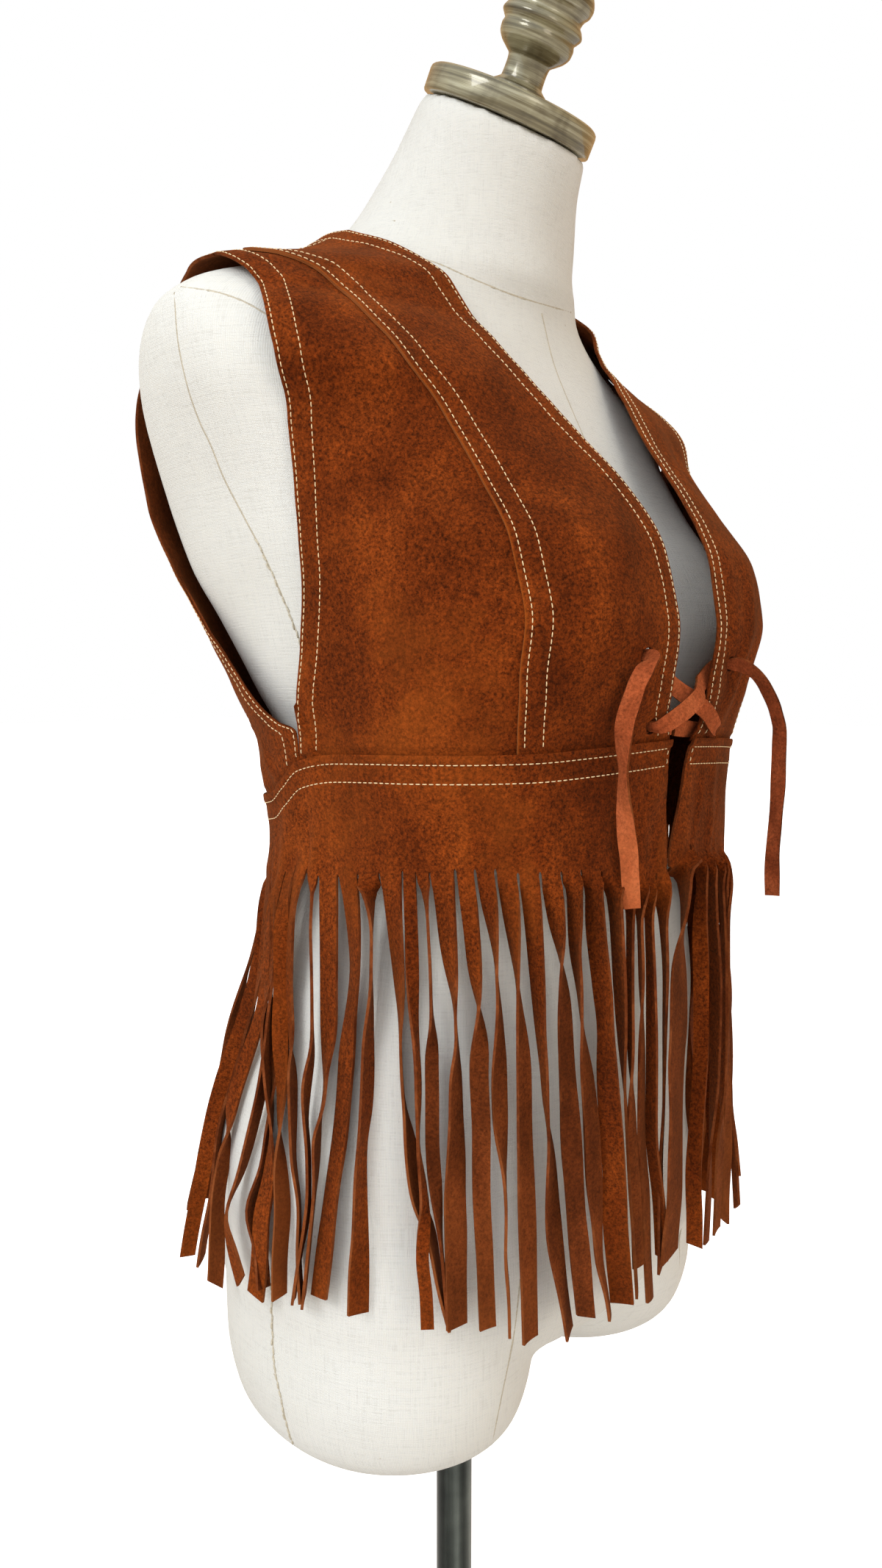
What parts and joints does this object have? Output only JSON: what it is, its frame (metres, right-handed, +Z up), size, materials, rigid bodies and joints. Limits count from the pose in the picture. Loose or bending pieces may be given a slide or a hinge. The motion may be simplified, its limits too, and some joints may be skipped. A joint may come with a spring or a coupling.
{
  "type": "fringed suede vest on dress form",
  "caption": "Laced suede vest with a long cut fringe below its waist band, worn by a limbless linen dress form on a pole and round base.",
  "frame": {"origin": "centre of the base's underside, on the surface that the stand rests on", "axes": "+Z up along the pole, -Y the way the form faces, +X the form's left"},
  "size_m": [0.3696, 0.3255, 1.1302],
  "materials": {
    "suede": "brushed nap, matt",
    "lace": "suede strip, matt",
    "linen": "plain weave, matt",
    "varnish": "turned, olive-bronze stain under gloss varnish",
    "steel": "dark, satin"
  },
  "bodies": {
    "root": {"vest_front_centre_right": "suede", "vest_front_side_right": "suede", "vest_front_centre_left": "suede", "vest_front_side_left": "suede", "vest_back": "suede", "vest_band_front_right": "suede", "vest_band_back": "suede", "vest_band_front_left": "suede", "vest_fringe_front_right": "suede", "vest_fringe_back": "suede", "vest_fringe_front_left": "suede", "lace_right": "lace", "lace_left": "lace", "form_torso": "linen", "form_neck_cap": "varnish", "form_finial": "varnish", "form_pole": "steel", "form_collar": "steel", "form_base": "steel"}
  },
  "joints": []
}
